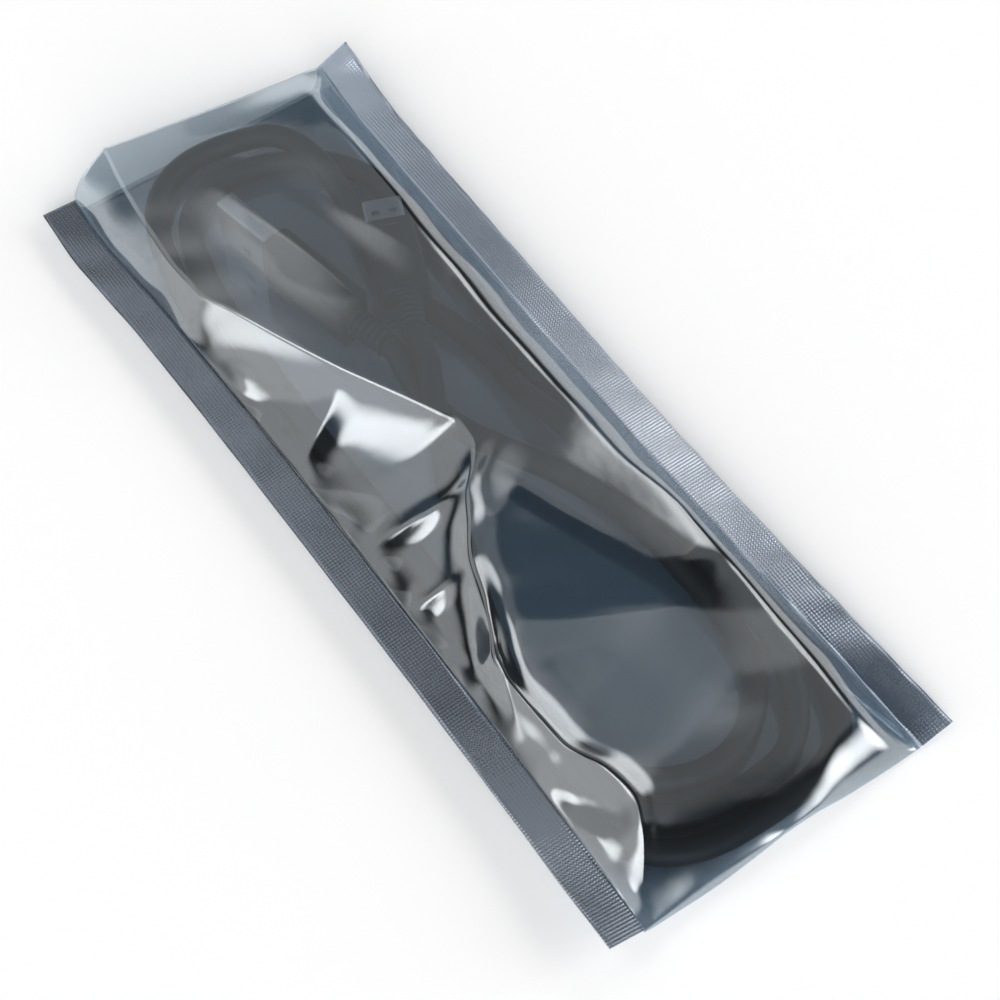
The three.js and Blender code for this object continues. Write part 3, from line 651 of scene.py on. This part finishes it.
class Pouch:
    """The film: one folded sheet, welded to a seal band along each side."""

    def __init__(self) -> None:
        """Set the grid of the sheet, and its crease and facet over the lower coil."""
        self.form = FilmForm()
        self.crease = Fold((-0.025, -0.14), (0.37, -0.56), 1.7, 21)
        self.facet_foot = Fold((-0.475, -0.42), (0.375, -0.57), 0, 9)
        self.crease_right_reach = 24
        self.rim_height = 1.0
        self.rim_width = 3.4
        self.wall = 0.1
        self.nose_length = 9
        self.nose_rows = 14
        self.turn_columns = 14
        self.left_columns = 30
        self.right_columns = 62
        self.row_pitch = 0.8
        self.back_pitch = 2.0
        self.band_columns = 10

    def distances(self, pitch: float) -> Array:
        """Distances of the rows from the closed end, closer round the nose."""
        nose = self.nose_length * (np.linspace(0, 1, self.nose_rows) ** 1.7)
        count = int(round((BAG_LENGTH - self.nose_length) / pitch))
        return np.concatenate((nose, np.linspace(self.nose_length, BAG_LENGTH, count + 1)[1:]))

    def front_columns(self, along: Array) -> Array:
        """Places across the front film, one row per station, with a column on the ridge."""
        ridge = self.form.ridge_across(along) * HALF_WIDTH
        left, right = self.form.inner_left(along), self.form.inner_right(along)
        low = np.linspace(0, 1, self.left_columns + 1)[None, :-1]
        high = np.linspace(0, 1, self.right_columns + 1)[None, :]
        to_ridge = mix(left[:, None], ridge[:, None], low)
        from_ridge = mix(ridge[:, None], right[:, None], high)
        return np.hstack((to_ridge, from_ridge))

    def back_columns(self, along: Array, count: int) -> Array:
        """Places across the back film, closer where it turns up to the seals."""
        left, right = self.form.inner_left(along), self.form.inner_right(along)
        turn = TURN_UP * np.linspace(0, 1, self.turn_columns) ** 1.6
        flat = np.linspace(0, 1, count - 2 * (self.turn_columns - 1))[1:-1]
        low = left[:, None] + turn[None, :]
        high = right[:, None] - turn[None, ::-1]
        middle = mix(left[:, None] + TURN_UP, right[:, None] - TURN_UP, flat[None, :])
        return np.hstack((low, middle, high))

    def wrinkles(self, x: Array, along: Array) -> Array:
        """Creases along the seals, a rim on the lower ridge, the slack facet and faint waves.

        Args:
            x: Places across the bag, in millimetres.
            along: Share along the bag, in the same shape.

        Returns:
            Heights to add to the front film, in millimetres.
        """
        y = along * HALF_LENGTH
        left, right = self.form.inner_left(along), self.form.inner_right(along)
        from_left, from_right = x - left, right - x
        near_left = np.exp(-from_left / 7.0) * smooth(from_left / 3.0)
        near_right = np.exp(-from_right / 6.0) * smooth(from_right / 3.0)
        pucker = near_left * (0.3 + 0.34 * waves(y + 0.5 * from_left, 3, 19, 4))
        pucker = pucker + near_right * 0.2 * waves(y - 0.3 * from_right, 8, 24, 4)
        broad = 0.07 * waves(x + 0.35 * y, 5, 26, 4) * waves(y - 0.2 * x, 6, 44, 4)
        off_ridge = x - self.form.ridge_across(along) * HALF_WIDTH
        rim_span = smooth(-5 * along) * smooth(7 * along + 6.6)
        rim = self.rim_height * np.exp(-(off_ridge / self.rim_width) ** 2) * rim_span
        inner = smooth(np.minimum(from_left, from_right) / 8)
        return pucker + rim + (broad + self.tent(x, y)) * inner

    def tent(self, x: Array, y: Array) -> Array:
        """Rise to a crisp crease over the lower coil, with a slack facet on its left.

        Args:
            x: Places across the bag, in millimetres.
            y: Places along the bag, in millimetres.

        Returns:
            Heights to add, in millimetres.
        """
        share, right_of = self.crease.along_and_off(x, y)
        _, above = self.facet_foot.along_and_off(x, y)
        reach = np.where(right_of < 0, self.crease.width, self.crease_right_reach)
        fall = 1 - np.abs(right_of) / reach
        ends = smooth(share * 5 + 0.5) * smooth((1.05 - share) * 5)
        return self.crease.height * np.clip(fall, 0, 1) * ends * smooth(-above / self.facet_foot.width)

    def sheet(self) -> bpy.types.Object:
        """Lay the pocket's film as one sheet, from the front mouth edge round the fold to the back."""
        front_along = self.distances(self.row_pitch)[::-1] / HALF_LENGTH - 1
        front_x = self.front_columns(front_along)
        station = np.broadcast_to(front_along[:, None], front_x.shape)
        middle = 0.5 * (front_x[:, :1] + front_x[:, -1:])
        front_z = self.form.front(front_x, station) + self.wrinkles(front_x, station)
        seal_z = np.where(front_x < middle, self.form.seal_left(station), self.form.seal_right(station))
        at_seal = np.zeros_like(front_x, dtype=bool)
        at_seal[:, [0, -1]] = True
        front_z = np.where(at_seal, seal_z + FILM, front_z)
        front = np.stack((front_x, station * HALF_LENGTH, front_z), axis=-1)
        distance = self.distances(self.back_pitch)[1:]
        back_along = distance / HALF_LENGTH - 1
        even = self.back_columns(back_along, front_x.shape[1])
        back_x = mix(self.front_columns(back_along), even, smooth(distance / 10)[:, None])
        station = np.broadcast_to(back_along[:, None], back_x.shape)
        back = np.stack((back_x, station * HALF_LENGTH, self.form.back(back_x, station)), axis=-1)
        piece = sheet_from("pocket_film", np.concatenate((front, back))[::-1])
        thicken(piece, self.wall)
        return piece

    def band(self, name: str, side: int) -> bpy.types.Object:
        """Lay one seal band.

        Args:
            name: The piece's name.
            side: -1 on the left, 1 on the right.

        Returns:
            The band.
        """
        form = self.form
        along = self.distances(self.row_pitch) / HALF_LENGTH - 1
        outer, inner = (form.left, form.inner_left) if side < 0 else (form.right, form.inner_right)
        z_outer, z_inner = (
            (form.seal_left_edge, form.seal_left) if side < 0 else (form.seal_right_edge, form.seal_right)
        )
        share = np.linspace(0, 1, self.band_columns + 1)[None, :]
        ends = (outer, inner) if side < 0 else (inner, outer)
        heights = (z_outer, z_inner) if side < 0 else (z_inner, z_outer)
        x = mix(ends[0](along)[:, None], ends[1](along)[:, None], share)
        z = mix(heights[0](along)[:, None], heights[1](along)[:, None], share)
        y = np.broadcast_to((along * HALF_LENGTH)[:, None], x.shape)
        out = share if side > 0 else 1 - share
        ripple = 0.1 * waves(y + 0.5 * x, 11 + side, 13) * out
        piece = sheet_from(name, np.stack((x, y, z + FILM + ripple), axis=-1))
        thicken(piece, 2 * FILM)
        return piece

    def build(self) -> None:
        """Make the film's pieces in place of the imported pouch."""
        film = ShieldingFilm().material()
        # Both bands are the same fused film: the left band's colours are a painted shade, darker, and the
        # right band's a painted highlight, lighter
        left_finish = SealBand(
            name="left_seal_film", press_and_highlight_middle=-92, press_and_highlight_reach=46, press_and_highlight_strength=0.6, metal_share=0.84,
            roughness=0.22, colour=(0.33, 0.37, 0.43), colour_dark=(0.25, 0.28, 0.33),
            colour_painted_highlight=(0.46, 0.51, 0.58)).material()
        # Each band's pressed stretch, near the fold on the left and mid-bag on the right, carries a
        # painted highlight, a lighter colour
        right_finish = SealBand(
            name="right_seal_film", press_and_highlight_middle=-22, press_and_highlight_reach=50, press_and_highlight_strength=1.0, metal_share=0.6,
            roughness=0.12, colour=(0.6, 0.66, 0.73), colour_dark=(0.48, 0.53, 0.6)).material()
        pieces = [self.sheet(), self.band("left_seal", -1), self.band("right_seal", 1)]
        for piece, material in zip(pieces, (film, left_finish, right_finish)):
            finish_piece(piece, material)
            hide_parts("film_pouch")


# The lead's route from the large plug to the small one, in millimetres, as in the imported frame. A
# point with no height lies on the first layer
LEAD_ROUTE = (
    (0.9, 19, 4.6), (1.2, 13, 3.4), (2.2, 7, 3.3), (3.8, 1, 4.3), (6.4, -6.5, 6.1),
    (9.6, -14.2, 7.5), (12.4, -21.5, 8), (14.9, -29, 7.8), (16.8, -36, 6.6), (18.1, -43, 4.9),
    (18.8, -50, 3.5), (18.9, -57), (18.3, -64), (16.2, -70.5), (12.3, -76), (7, -79.8),
    (0.5, -81.6), (-6, -80.8), (-12, -77.8), (-16.8, -73), (-20, -67), (-21.7, -60), (-22, -52),
    (-21.8, -44), (-21.4, -34), (-21.2, -22), (-21.1, -8), (-21.2, 6), (-21.3, 20), (-21.1, 34),
    (-20.6, 48), (-19.5, 60), (-17.7, 70), (-15.6, 77.2), (-12.4, 82.4), (-7.6, 85.4), (-1.9, 86.6),
    (4, 86.2), (9.6, 84.5), (14.8, 81.6), (19.6, 77.4), (23.2, 71.8), (25.1, 64.8), (25.6, 56.5),
    (25.4, 46), (24.9, 34), (24.1, 22), (23.2, 10), (22.7, -1), (21.9, -11), (21.8, -21),
    (22.6, -29.5), (24.2, -38), (25.5, -47), (26.3, -58), (26.7, -69), (26.1, -78.5), (23.6, -86),
    (19.2, -91), (13.2, -93.5), (6.3, -94.2), (-1, -94.2), (-8.5, -93.7), (-15.2, -91.9),
    (-20.9, -88.2), (-24.9, -82.7), (-26.9, -75), (-27.4, -65.5), (-27.3, -54), (-27, -42),
    (-26.7, -28), (-26.6, -12), (-26.6, 4), (-26.7, 20), (-26.6, 36), (-26.1, 50), (-25, 62),
    (-23.3, 72.5), (-20.9, 81.5), (-17.3, 88.6), (-12, 93.3), (-5.4, 95.5), (1.4, 95.1, 3.3),
    (7, 92.4, 5), (11.1, 88.4, 7.4), (13.8, 83.4, 8.5), (15.3, 78, 8.1), (16.1, 72, 6.3),
    (16, 66, 4.2), (15, 60.2), (13.4, 54.6), (12.1, 48.6), (12, 42.2), (13.3, 36), (15.4, 29.8),
    (17.1, 23), (17.9, 15.5), (17.6, 7.5, 3.5), (17.8, 0, 5.6), (18.6, -8, 7.4), (19.3, -16, 8.4),
    (20.1, -24, SECOND_LAYER), (21.4, -32, SECOND_LAYER), (22.5, -40, SECOND_LAYER),
    (22.9, -48.5, 7.9), (22.8, -57, GROOVE_LAYER), (22.4, -65, 7.4), (21.2, -72.5, 6.7),
    (18.9, -79, 5), (15.2, -84.2, 3.5), (10, -87.4), (3.7, -88.2), (-3, -88.1), (-9.4, -87),
    (-15.2, -84.3, 3.4), (-19.8, -79.7, 4.6), (-22.7, -73.5, 6.4), (-23.9, -66.5, 7.4),
    (-24.2, -59, GROOVE_LAYER), (-23.9, -52, 7.9), (-22.8, -45.5, 8.3), (-20.7, -39, 8.3),
    (-18.3, -32.5, 7.3), (-15.8, -25.8, 6.1), (-13.1, -19, 5.4), (-10.3, -12.2, 5.6),
    (-7.3, -5.5, 6.6), (-4.2, 1, 7.9), (-1.1, 7.2, 8.7), (1.9, 13.2, 8.95), (4.7, 19, 9.2),
)


@dataclass(frozen=True)
class Plug:
    """A moulded plug: its own frame has the shell along +Y and the body's front face at y = 0."""

    name: str
    at: tuple[float, float, float]
    heading: float
    roll: float
    width: float
    thickness: float
    length: float
    corner: float
    shell_width: float
    shell_thickness: float
    shell_length: float
    tongue_thickness: float
    relief_length: float
    contacts: int
    contact_width: float
    contact_pitch: float
    contact_length: float
    tongue_setback: float = 1.0
    shell_wall: float = 0.35
    tongue_gap: float = 0.4
    ribs: int = 6

    def place(self) -> Matrix:
        """Turn and move from the plug's own frame to the bag's, in metres."""
        turn = Matrix.Rotation(self.heading, 4, "Z") @ Matrix.Rotation(self.roll, 4, "Y")
        return Matrix.Translation(Vector(self.at) * MM) @ turn

    def lead_end(self) -> list[tuple[float, float, float]]:
        """Where the lead meets the strain relief, and the way on from there, in millimetres."""
        back = -self.length - self.relief_length - 2 * CLEARANCE
        ends = []
        for along in (back, back - 2):
            spot = self.place() @ Vector((0, along * MM, 0))
            ends.append(tuple(spot / MM))
        return ends

    def box(self, part: str, size: tuple[float, float, float], centre: tuple) -> bpy.types.Object:
        """Add a box of a size and centre in the plug's own frame."""
        deselect()
        bpy.ops.mesh.primitive_cube_add(size=1)
        piece = bpy.context.object
        piece.name = f"{self.name}_{part}"
        piece.scale = Vector(size) * MM
        piece.location = Vector(centre) * MM
        bpy.ops.object.transform_apply(location=True, rotation=False, scale=True)
        return piece

    def seat(self, piece: bpy.types.Object) -> bpy.types.Object:
        """Move a finished piece's mesh from the plug's frame to its place in the bag."""
        deselect()
        piece.select_set(True)
        bpy.context.view_layer.objects.active = piece
        bpy.ops.object.shade_smooth_by_angle(angle=math.radians(35))
        piece.data.transform(self.place())
        piece.data.update()
        return piece

    def body(self) -> bpy.types.Object:
        """Moulded body: rounded along its length, with a sunk grip panel on each broad face."""
        size = (self.width, self.length, self.thickness)
        piece = self.box("moulding", size, (0, -self.length / 2, 0))
        with editing(piece) as mesh:
            select_long_edges(mesh)
            bpy.ops.mesh.bevel(offset=self.corner * MM, segments=5, affect="EDGES")
            select_faces(mesh, lambda face: abs(face.normal.y) > 0.9)
            bpy.ops.mesh.bevel(offset=0.6 * MM, segments=3, affect="EDGES")
            select_faces(mesh, lambda face: abs(face.normal.z) > 0.99 and face.calc_area() > 1e-5)
            bpy.ops.mesh.inset(thickness=1.1 * MM, use_individual=True)
            bpy.ops.mesh.inset(thickness=0.3 * MM, depth=-0.35 * MM, use_individual=True)
        return self.seat(piece)

    def shell(self) -> bpy.types.Object:
        """Sheet-metal shell, open at the front, with two latch windows on each broad face."""
        length = self.shell_length - CLEARANCE
        middle = CLEARANCE + length / 2
        wall = self.shell_wall
        size = (self.shell_width - wall, length, self.shell_thickness - wall)
        piece = self.box("shell_sheet", size, (0, middle, 0))
        with editing(piece) as mesh:
            select_long_edges(mesh)
            bpy.ops.mesh.bevel(offset=0.6 * MM, segments=4, affect="EDGES")
            select_faces(mesh, lambda face: abs(face.normal.y) > 0.9)
            bpy.ops.mesh.delete(type="FACE")
        solid = piece.modifiers.new("wall", "SOLIDIFY")
        solid.thickness = wall * MM
        solid.offset = 0
        apply_modifiers(piece)
        for side in (-1, 1):
            window = (0.2 * self.shell_width, 0.16 * self.shell_length, self.shell_thickness * 2)
            at = (side * 0.22 * self.shell_width, 0.45 * self.shell_length, 0)
            hole = self.box("window", window, at)
            cut = piece.modifiers.new("window", "BOOLEAN")
            cut.object = hole
            cut.solver = "EXACT"
            apply_modifiers(piece)
            bpy.data.objects.remove(hole)
        return self.seat(piece)

    def tongue(self) -> bpy.types.Object:
        """Contact carrier inside the shell, bevelled at its front."""
        length = self.shell_length - self.tongue_setback - CLEARANCE
        width = self.shell_width - 2 * (self.shell_wall + self.tongue_gap)
        centre = (0, CLEARANCE + length / 2, 0)
        piece = self.box("carrier", (width, length, self.tongue_thickness), centre)
        with editing(piece) as mesh:
            select_faces(mesh, lambda face: face.normal.y > 0.9)
            bpy.ops.mesh.bevel(offset=0.25 * MM, segments=2, affect="EDGES")
        return self.seat(piece)

    def contact_row(self) -> bpy.types.Object:
        """Row of plated contact strips on the carrier's upper face."""
        middle = self.shell_length - 2 * self.tongue_setback - self.contact_length / 2
        top = self.tongue_thickness / 2 + 0.02
        row = []
        for i in range(self.contacts):
            x = (i - (self.contacts - 1) / 2) * self.contact_pitch
            size, at = (self.contact_width, self.contact_length, 0.12), (x, middle, top)
            strip = self.box(f"contact_{i + 1}", size, at)
            with editing(strip) as mesh:
                select_faces(mesh, lambda face: face.normal.z > 0.9)
                bpy.ops.mesh.bevel(offset=0.04 * MM, segments=1, affect="EDGES")
            row.append(strip)
        deselect()
        for strip in row:
            strip.select_set(True)
        bpy.context.view_layer.objects.active = row[0]
        bpy.ops.object.join()
        row[0].name = f"{self.name}_contacts"
        return self.seat(row[0])

    def relief(self) -> bpy.types.Object:
        """Ribbed strain relief, a cylinder drawn in between its ribs and tapered to the lead."""
        front = -self.length - CLEARANCE
        wide, narrow = LEAD_RADIUS + 0.7, LEAD_RADIUS + 0.25
        deselect()
        bpy.ops.mesh.primitive_cylinder_add(
            vertices=40, radius=wide * MM, depth=self.relief_length * MM,
            location=(0, (front - self.relief_length / 2) * MM, 0), rotation=(math.pi / 2, 0, 0))
        piece = bpy.context.object
        piece.name = f"{self.name}_relief"
        bpy.ops.object.transform_apply(location=True, rotation=True, scale=True)
        with editing(piece) as mesh:
            steps = 4 * self.ribs
            for i in range(1, steps):
                cut = (front - self.relief_length * i / steps) * MM
                bpy.ops.mesh.select_all(action="SELECT")
                bpy.ops.mesh.bisect(plane_co=(0, cut, 0), plane_no=(0, 1, 0))
            mesh = bmesh.from_edit_mesh(piece.data)
            for vert in mesh.verts:
                share = (front * MM - vert.co.y) / (self.relief_length * MM)
                in_groove = 0.5 - 0.5 * math.cos(2 * math.pi * self.ribs * share)
                radius = (mix(wide, narrow, share) - 0.35 * in_groove) / wide
                vert.co.x *= radius
                vert.co.z *= radius
        return self.seat(piece)

    def build(self, moulding: bpy.types.Material, steel: bpy.types.Material,
              carrier: bpy.types.Material, gold: bpy.types.Material) -> None:
        """Make the plug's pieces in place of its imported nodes."""
        parts = (
            (self.body(), "body", Slot.MOULDING, moulding),
            (self.shell(), "shell", Slot.SHELL, steel),
            (self.tongue(), "tongue", Slot.TONGUE, carrier),
            (self.relief(), "strain_relief", Slot.MOULDING, moulding),
        )
        for piece, node, slot, material in parts:
            finish_piece(piece, material)
            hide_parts(f"{self.name}_{node}")
        row = self.contact_row()
        finish_piece(row, gold)
        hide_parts(*(f"{self.name}_contact_{i + 1}" for i in range(self.contacts)))


@dataclass
class Lead:
    """The coiled round lead between the two plugs."""

    start: Plug
    end: Plug
    rings: int = 900
    sides: int = 24
    samples: int = 40

    def route(self) -> Array:
        """Even points along a centripetal curve through the route, in millimetres."""
        first, first_on = self.start.lead_end()
        last, last_on = self.end.lead_end()
        middle = [(x, y, height[0] if height else FIRST_LAYER) for x, y, *height in LEAD_ROUTE]
        knots = np.array([first, first_on, *middle, last_on, last], dtype=float)
        before, after = 2 * knots[0] - knots[1], 2 * knots[-1] - knots[-2]
        knots = np.vstack((before, knots, after))
        u = np.linspace(0, 1, self.samples, endpoint=False)[:, None]
        stretches = []
        for p0, p1, p2, p3 in zip(knots, knots[1:], knots[2:], knots[3:]):
            t01, t12, t23 = (math.sqrt(np.linalg.norm(b - a)) for a, b in ((p0, p1), (p1, p2), (p2, p3)))
            m1 = p2 - p1 + t12 * ((p1 - p0) / t01 - (p2 - p0) / (t01 + t12))
            m2 = p2 - p1 + t12 * ((p3 - p2) / t23 - (p3 - p1) / (t12 + t23))
            bend = (2 * (p1 - p2) + m1 + m2) * u**3 + (3 * (p2 - p1) - 2 * m1 - m2) * u**2
            stretches.append(bend + m1 * u + p1)
        fine = np.vstack((*stretches, knots[-2:-1]))
        run = np.concatenate(([0], np.cumsum(np.linalg.norm(np.diff(fine, axis=0), axis=1))))
        even = np.linspace(0, run[-1], self.rings)
        return np.stack([np.interp(even, run, fine[:, i]) for i in range(3)], axis=1)

    def build(self, jacket: bpy.types.Material) -> None:
        """Sweep the round section along the route and close its ends."""
        path = self.route()
        curve = bpy.data.curves.new("coiled_lead", "CURVE")
        curve.dimensions = "3D"
        curve.bevel_depth = LEAD_RADIUS * MM
        curve.bevel_resolution = self.sides // 2 - 1
        curve.use_fill_caps = True
        spline = curve.splines.new("POLY")
        spline.points.add(len(path) - 1)
        flat = np.hstack((path * MM, np.ones((len(path), 1))))
        spline.points.foreach_set("co", flat.ravel())
        piece = bpy.data.objects.new("coiled_lead", curve)
        bpy.context.collection.objects.link(piece)
        deselect()
        piece.select_set(True)
        bpy.context.view_layer.objects.active = piece
        bpy.ops.object.convert(target="MESH")
        bpy.ops.object.shade_smooth()
        finish_piece(piece, jacket)
        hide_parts("lead")


@dataclass(frozen=True)
class Glow:
    """Soft-edged light area of the studio: a direction, two radii in degrees and a radiance."""

    azimuth: float
    elevation: float
    inner: float
    outer: float
    radiance: float

    def way(self) -> tuple[float, float, float]:
        """Direction of the middle, with azimuth from +Y towards +X."""
        a, e = math.radians(self.azimuth), math.radians(self.elevation)
        return math.sin(a) * math.cos(e), math.cos(a) * math.cos(e), math.sin(e)


@dataclass(frozen=True)
class Studio:
    """Pale floor, soft studio light all round, and the camera."""

    azimuth: float = -35.5
    elevation: float = 58.3
    distance: float = 0.412
    focal_px: float = 2100.0
    frame_px: float = 1000.0
    target: tuple[float, float, float] = (0.0007, -0.0118, 0.0)
    dark: float = 0.03
    glows: tuple[Glow, ...] = (
        Glow(-92, 40, 16, 38, 0.9),
        Glow(-86, 18, 5, 18, 1.6),
        Glow(-60, 66, 3, 12, 2.4),
        Glow(66, 42, 6, 15, 1.7),
        Glow(76, 58, 9, 17, 0.2),
        Glow(35, 48, 18.5, 21, 0.23),
        Glow(-20, 50, 12, 31, 0.6),
        Glow(122, 30, 10, 28, 3.4),
        Glow(208, 26, 14, 34, 5.0),
    )
    horizon: float = 0.9
    horizon_low: float = 0.08
    horizon_top: float = 0.3

    def floor(self) -> None:
        """Plain pale floor under the bag."""
        deselect()
        bpy.ops.mesh.primitive_plane_add(size=6, location=(0, 0, -0.0002))
        floor = bpy.context.object
        floor.name = "floor"
        recipe = Recipe("floor")
        recipe.set(Base_Color=(0.95, 0.95, 0.95, 1), Roughness=0.9, Specular_IOR_Level=0.1)
        floor.data.materials.append(recipe.material)

    def surround(self) -> None:
        """Dark studio with soft light areas and a pale band at the horizon, as the world."""
        world = bpy.data.worlds.new("studio")
        bpy.context.scene.world = world
        world.use_nodes = True
        tree = world.node_tree
        sky = Recipe.on_tree(tree)
        way = sky.node("ShaderNodeTexCoord", {}, {}, "Generated")
        height = sky.part(way, "Z")
        light = self.dark + self.horizon * sky.ease(height, self.horizon_top, self.horizon_low)
        for glow in self.glows:
            inputs = {0: way, 1: glow.way()}
            toward = sky.node("ShaderNodeVectorMath", {"operation": "DOT_PRODUCT"}, inputs, "Value")
            edge, full = math.cos(math.radians(glow.outer)), math.cos(math.radians(glow.inner))
            light = light + glow.radiance * sky.ease(toward, edge, full)
        sky.link(tree.nodes["Background"].inputs["Strength"], light)
        tree.nodes["Background"].inputs["Color"].default_value = (1, 1, 1, 1)

    def camera(self) -> None:
        """Camera at the photograph's viewing angle."""
        a, e = math.radians(self.azimuth), math.radians(self.elevation)
        back = Vector((math.sin(a) * math.cos(e), -math.cos(a) * math.cos(e), math.sin(e)))
        lens = bpy.data.cameras.new("camera")
        lens.sensor_width = 36
        lens.lens = self.focal_px / self.frame_px * lens.sensor_width
        lens.clip_start = 0.01
        holder = bpy.data.objects.new("camera", lens)
        holder.location = Vector(self.target) + back * self.distance
        holder.rotation_euler = (-back).to_track_quat("-Z", "Y").to_euler()
        bpy.context.collection.objects.link(holder)
        bpy.context.scene.camera = holder

    def build(self) -> None:
        """Set up everything that isn't part of the bag."""
        self.camera()
        self.floor()
        self.surround()
        bpy.context.scene.view_settings.view_transform = "Standard"


LARGE_PLUG = Plug(
    name="large_plug", at=(-5, 60.3, FILM + CLEARANCE + LARGE_PLUG_WIDTH / 2), heading=0.18,
    roll=math.pi / 2, width=LARGE_PLUG_WIDTH, thickness=7.4, length=24, corner=1.6, shell_width=12,
    shell_thickness=4.5, shell_length=14.8, tongue_thickness=1.9, relief_length=9, contacts=4,
    contact_width=1.1, contact_pitch=2.4, contact_length=9)
SMALL_PLUG = Plug(
    name="small_plug",
    at=(17.2, 51.7, FIRST_LAYER + LEAD_RADIUS + CLEARANCE + SMALL_PLUG_THICKNESS / 2), heading=-0.39,
    roll=0, width=11, thickness=SMALL_PLUG_THICKNESS, length=19, corner=2.2, shell_width=8.4,
    shell_thickness=2.9, shell_length=6.5, tongue_thickness=0.8, relief_length=8,
    contacts=5, contact_width=0.6, contact_pitch=1.2, contact_length=4)


def main() -> None:
    """Build the studio, then the bag from the lead outwards."""
    logging.basicConfig(level=logging.INFO, format="%(name)s: %(message)s")
    Studio().build()
    moulding = Moulding("plug_moulding").material()
    steel = PlatedSteel().material()
    carrier = Moulding("plug_carrier", (0.5, 0.5, 0.48), (0.62, 0.62, 0.6), 0.45).material()
    gold = PlatedSteel("contact_plating", (0.7, 0.5, 0.22), (0.85, 0.64, 0.32)).material()
    for plug in (LARGE_PLUG, SMALL_PLUG):
        plug.build(moulding, steel, carrier, gold)
    Lead(LARGE_PLUG, SMALL_PLUG).build(Moulding("lead_jacket", roughness=0.42, grain=1800).material())
    Pouch().build()


if __name__ == "__main__":
    main()
